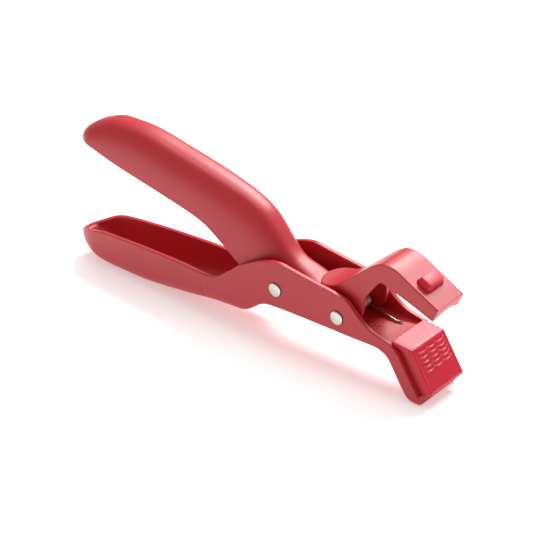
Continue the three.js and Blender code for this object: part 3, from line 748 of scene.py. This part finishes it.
def make_upper_pad(material):
    """The pad in the channel of the front plate, and the nub that locks it through the window."""
    along = (math.cos(PLATE_SLOPE), math.sin(PLATE_SLOPE))
    inward = (along[1], -along[0])

    def at(s, t):
        return tuple(JAW_TIP[i] + along[i] * s + inward[i] * t for i in (0, 1))

    roof, face = 2.25, JAW_FLANGE + 0.5
    half = JAW_HALF_WIDTH - JAW_WALL - 0.05
    pad = outline_solid([at(-0.2, roof), at(-0.2, face), at(-9.4, face + 0.8), at(-17.0, face + 1.9),
                         at(-18.0, face), at(-16.0, roof)], -half, half, 0.3)
    nub = nub_block(0, -NUB_ROOT, NUB_STRAIGHT)
    centre = Vector((NUB_CENTRE[0] * MM, 0, NUB_CENTRE[1] * MM))
    out = Vector((-inward[0], 0, -inward[1]))
    edit(nub, "FACE")
    bpy.ops.object.mode_set(mode="OBJECT")
    for polygon in nub.data.polygons:
        polygon.select = (polygon.center - centre).dot(out) > 0.3 * MM
    bpy.ops.object.mode_set(mode="EDIT")
    bpy.ops.mesh.extrude_region_move(
        TRANSFORM_OT_translate={"value": out * (NUB_HEIGHT - NUB_STRAIGHT) * MM})
    share = (NUB_FACE[0] / NUB_BASE[0], NUB_FACE[1] / NUB_BASE[1])
    bpy.ops.transform.resize(value=(share[0], share[1], share[0]),
                             center_override=centre + out * NUB_HEIGHT * MM)
    bpy.ops.mesh.bevel(offset=0.3 * MM, segments=3, affect="EDGES")
    bpy.ops.object.mode_set(mode="OBJECT")
    join_solid(pad, nub)
    smooth(pad, 40)
    return finished(pad, "upper_pad_silicone", material)


# ---- Lower pad, with its ribs ----
RIB_ROWS = 5
RIB_PITCH = 2.0
RIB_FIRST = 2.6
RIB_SCALLOPS = 3
RIB_SPAN = 17.4
RIB_SAG = 0.95
RIB_HEIGHT = 0.32
RIB_WIDTH = 0.5
RIB_CENTRE_Y = 0.2
BORDER_INSET = 0.65
BORDER_HEIGHT = 0.14


def rib_relief(s, y):
    """How far the pad's face stands out at s down the jaw and y across: rows of hanging scallops
    inside a fine raised border."""
    to_border = min(PAD_HALF_WIDTH - BORDER_INSET - abs(y), PAD_FACE_LENGTH - 1.2 - s)
    height = BORDER_HEIGHT * math.exp(-(to_border / 0.2) ** 2)
    y -= RIB_CENTRE_Y
    if abs(y) > RIB_SPAN / 2 + 0.3:
        return height
    scallop = RIB_SPAN / RIB_SCALLOPS
    inside = (y + RIB_SPAN / 2) / scallop
    u = 2 * (inside - math.floor(inside)) - 1
    fade = min(1.0, max(0.0, (RIB_SPAN / 2 + 0.3 - abs(y)) / 0.6))
    for row in range(RIB_ROWS):
        crest = RIB_FIRST + RIB_PITCH * row - RIB_SAG * u * u
        away = abs(s - crest) / (RIB_WIDTH / 2)
        if away < 2.5:
            height = max(height, RIB_HEIGHT * math.exp(-away * away) * fade)
    return height


PAD_CORNER = 1.3
PAD_EDGE = 0.35
PAD_BACK_EDGE = 0.3
PAD_COLUMNS = 150
PAD_TOP_ROWS = 13
PAD_BEND_ROWS = 8
PAD_TOP_RISE = 0.35  # how far the bend stands above the top's slope
PAD_THINNER = 1.2  # how much thinner the pad is on top than down its face
ABOVE_FACE = -10  # stands for a distance down the face where there is no face yet


def pad_line():
    """The pad's outer line in side view, from its rear edge over the bend and down its face, as
    (point, outward normal, distance down the face)."""
    line = []
    rear_out = Vector((-0.05, 1.0)).normalized()
    top_end = (PAD_BEND[0] - PAD_CORNER, PAD_BEND[1] + PAD_TOP_RISE)
    for i in range(PAD_TOP_ROWS + 1):
        t = i / PAD_TOP_ROWS
        point = tuple(a + (b - a) * t for a, b in zip(PAD_REAR, top_end))
        line.append((point, rear_out, ABOVE_FACE))
    s = PAD_CORNER * 0.8
    for i, point in enumerate(bezier(top_end, PAD_BEND, jaw_point(s, 0), PAD_BEND_ROWS), 1):
        t = i / PAD_BEND_ROWS
        normal = Vector((OUT_OF_JAW[0] * t + 0.1 * (1 - t), OUT_OF_JAW[1] * t + 1 - t)).normalized()
        line.append((point, normal, s * t - 0.4 * (1 - t)))
    ribs_end = RIB_FIRST + RIB_PITCH * RIB_ROWS
    while s < PAD_FACE_LENGTH - 0.9:
        s += 0.12 if s < ribs_end else 0.25
        line.append((jaw_point(min(s, PAD_FACE_LENGTH - 0.7), 0), Vector(OUT_OF_JAW), s))
    return line


def pad_ring(point, normal, down):
    """A section across the pad: its face with the ribs, a side, its back and the other side."""
    half, edge, back = PAD_HALF_WIDTH, PAD_EDGE, PAD_BACK_EDGE
    thick = PAD_THICKNESS
    if down < 1:
        thick -= PAD_THINNER * min(1, max(0, (PAD_BEND[0] - 1.0 - point[0]) / 3))

    def place(y, t):
        return (point[0] - normal[0] * t, y, point[1] - normal[1] * t)

    ring = []
    for column in range(PAD_COLUMNS + 1):
        y = (half - edge) * (1 - 2 * column / PAD_COLUMNS)
        ring.append(place(y, -rib_relief(down, y) if down > 0 else 0))
    ring += [place(-half + edge * 0.3, edge * 0.3), place(-half, edge), place(-half, thick - back),
             place(-half + back, thick)]
    ring += [place(y, thick) for y in (-half * 0.5, 0, half * 0.5)]
    ring += [place(half - back, thick), place(half, thick - back), place(half, edge),
             place(half - edge * 0.3, edge * 0.3)]
    return ring


def make_lower_pad(material):
    """The pad that wraps the top and the face of the front jaw."""
    rings = [pad_ring(*spot) for spot in pad_line()]
    first, last = rings[0], rings[-1]
    rings = [drawn_in(first, (-0.3, 0.0), 0.35), drawn_in(first, (-0.22, 0.0), 0.12), *rings,
             drawn_in(last, (ALONG_JAW[0] * 0.35, ALONG_JAW[1] * 0.35), 0.08),
             drawn_in(last, (ALONG_JAW[0] * 0.6, ALONG_JAW[1] * 0.6), 0.35)]
    return finished(loft("lower_pad_silicone", rings, detail=0), "lower_pad_silicone", material)


# ---- Rivets ----
HEAD_SEAT = BODY_HALF_WIDTH - RECESS_DEPTH
HEAD_RISE = 1.0
HEAD_SINK = 0.2
HEAD_DOME = ((0.28, 0.14), (0.5, 0.14), (0.8, 0.1), (0.8, 0.04))  # each ring's inset and rise


def rivet_head(pivot, side):
    """A low domed head on one side: a disc whose face is stepped in and raised, with soft edges."""
    ends = sorted((side * (HEAD_SEAT - HEAD_SINK), side * (HEAD_SEAT + HEAD_RISE)))
    head = rod(pivot, HEAD_RADIUS, *ends, vertices=72)
    edit(head, "FACE")
    bpy.ops.object.mode_set(mode="OBJECT")
    for polygon in head.data.polygons:
        outermost = polygon.center.y * side > (HEAD_SEAT + HEAD_RISE - 0.1) * MM
        polygon.select = outermost and len(polygon.vertices) > 8
    bpy.ops.object.mode_set(mode="EDIT")
    for inset, rise in HEAD_DOME:
        bpy.ops.mesh.inset(thickness=inset * MM)
        bpy.ops.transform.translate(value=(0, side * rise * MM, 0))
    bpy.ops.object.mode_set(mode="OBJECT")
    smooth(head, 50)
    return head


def make_rivet(name, pivot, material):
    """A headed post: the head on the near side and a shank through both cheeks."""
    head = rivet_head(pivot, -1)
    join_solid(head, rod(pivot, PIN_RADIUS, -HEAD_SEAT, HEAD_SEAT - 0.4, vertices=48))
    smooth(head, 40)
    return finished(head, name, material)


def make_rivet_cap(name, pivot, material):
    """The head closed on a rivet's far end."""
    return finished(rivet_head(pivot, 1), name, material)


# ---- Torsion spring ----
COIL_TURNS = 7
COIL_LOW_Y = -0.9
COIL_PITCH = 1.08
COIL_HIGH_Y = COIL_LOW_Y + COIL_TURNS * COIL_PITCH
COIL_START = math.radians(-48)
COIL_SWEEP = 2 * math.pi * (COIL_TURNS - 0.35)
STEPS_A_TURN = 28

# The lower leg runs back from its bent tip on the floor plate to the coil.
LOWER_LEG = [(71.7, 6.5, 22.35), (71.2, 6.1, 22.0), (70.5, 5.6, 21.85), (69.5, 5.15, 21.9),
             (68.0, 5.3, 22.05), (60.4, 6.4, 22.75), (56.2, COIL_HIGH_Y, 23.3)]
UPPER_LEG = [(58.6, COIL_LOW_Y - 0.3, 38.5), (61.0, COIL_LOW_Y - 0.4, 43.4)]


def spring_path():
    """The wire's middle line: up the lower leg, round the coil and out along the upper leg."""
    points = list(LOWER_LEG)
    steps = STEPS_A_TURN * COIL_TURNS
    for i in range(steps + 1):
        angle = COIL_START - COIL_SWEEP * i / steps
        points.append((FRONT_PIVOT[0] + COIL_RADIUS * math.cos(angle),
                       COIL_HIGH_Y + (COIL_LOW_Y - COIL_HIGH_Y) * i / steps,
                       FRONT_PIVOT[2] + COIL_RADIUS * math.sin(angle)))
    return points + UPPER_LEG


def make_spring(material):
    """A coil on the front rivet; its lower leg lies on the floor plate and its upper leg under the
    jaw. Returns the wire and where the coil's high end is across the gripper."""
    points = spring_path()
    curve = bpy.data.curves.new("spring_path", "CURVE")
    curve.dimensions = "3D"
    curve.bevel_depth = WIRE_RADIUS * MM
    curve.bevel_resolution = 4
    curve.use_fill_caps = True
    spline = curve.splines.new("POLY")
    spline.points.add(len(points) - 1)
    for spot, point in zip(spline.points, points):
        spot.co = (*(c * MM for c in point), 1)
    spring = bpy.data.objects.new("torsion_spring_wire", curve)
    bpy.context.scene.collection.objects.link(spring)
    select_only(spring)
    bpy.ops.object.convert(target="MESH")
    spring = bpy.context.object
    smooth(spring, 60)
    return finished(spring, "torsion_spring_wire", material), COIL_HIGH_Y


# ---- Assembly ----
red = moulded_polypropylene()
crimson = crimson_silicone()
rivet_steel = tumbled_rivet_steel()
wire_steel = drawn_spring_wire()

lower_body = make_lower_body(red)
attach(lower_body, "body")
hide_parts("lower_body")

upper_handle = make_upper_handle(red)
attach(upper_handle, "handle")
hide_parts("upper_handle")

upper_jaw = make_upper_jaw(red)
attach(upper_jaw, "jaw")
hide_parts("upper_jaw")

upper_pad = make_upper_pad(crimson)
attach(upper_pad, "jaw")
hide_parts("upper_jaw_pad")

lower_pad = make_lower_pad(crimson)
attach(lower_pad, "body")
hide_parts("lower_jaw_pad")

for where, pivot in (("rear", REAR_PIVOT), ("front", FRONT_PIVOT)):
    rivet = make_rivet(f"{where}_rivet_post", pivot, rivet_steel)
    cap = make_rivet_cap(f"{where}_rivet_button", pivot, rivet_steel)
    for piece, replaced in ((rivet, f"{where}_rivet"), (cap, f"{where}_rivet_cap")):
        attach(piece, "body")
        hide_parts(replaced)

spring, coil_high = make_spring(wire_steel)
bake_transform(spring)
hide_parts("torsion_spring")


# ---- Floor, light and camera ----
FLOOR_SIZE = 6
FLOOR_CLEARANCE = 0.2 * MM


def make_floor():
    """A plain white table top that runs out past the view."""
    deselect()
    bpy.ops.mesh.primitive_plane_add(size=FLOOR_SIZE, location=(0, 0, -FLOOR_CLEARANCE))
    floor = settle(bpy.context.object, "floor")
    material, _, _ = new_material("white_table", Base_Color=linear("#FBFBFB"), Roughness=0.9,
                                  Specular_IOR_Level=0.1, Emission_Color=linear("#FFFDFC"),
                                  Emission_Strength=0.38)
    floor.data.materials.append(material)


def area_light(name, place, aim, size, power):
    """A white rectangular softbox at a place, turned to face its aim."""
    light = bpy.data.lights.new(name, "AREA")
    light.shape = "RECTANGLE"
    light.size, light.size_y = size
    light.energy = power
    lamp = bpy.data.objects.new(name, light)
    bpy.context.scene.collection.objects.link(lamp)
    lamp.location = place
    lamp.rotation_euler = (Vector(aim) - Vector(place)).to_track_quat("-Z", "Y").to_euler()


def make_light():
    """An even pale room, a softbox overhead and a brighter one behind, which casts the shadow
    forward."""
    world = bpy.data.worlds.new("studio")
    bpy.context.scene.world = world
    world.use_nodes = True
    background = world.node_tree.nodes["Background"]
    background.inputs["Color"].default_value = (1, 1, 1, 1)
    background.inputs["Strength"].default_value = 0.42
    area_light("overhead_softbox", (-0.08, 0.14, 0.82), (0.0, 0.0, 0.02), (0.5, 0.4), 2.5)
    area_light("back_softbox", (-0.04, 0.575, 0.62), (0.06, 0.0, 0.04), (0.55, 0.20), 7.8)


def make_camera():
    """A long lens at 39 degrees round from the front and 29 degrees up."""
    azimuth, elevation, distance = math.radians(39.2), math.radians(29.4), 0.755
    aim = Vector((0.0078, 0, 0.0257))
    back = Vector((math.sin(azimuth) * math.cos(elevation), -math.cos(azimuth) * math.cos(elevation),
                   math.sin(elevation)))
    camera = bpy.data.cameras.new("camera")
    camera.lens = 120
    camera.sensor_width = 36
    camera.clip_start, camera.clip_end = 0.05, 20
    holder = bpy.data.objects.new("camera", camera)
    bpy.context.scene.collection.objects.link(holder)
    holder.location = aim + back * distance
    holder.rotation_euler = (-back).to_track_quat("-Z", "Y").to_euler()
    bpy.context.scene.camera = holder


make_floor()
make_light()
make_camera()
bpy.context.scene.view_settings.view_transform = "Standard"
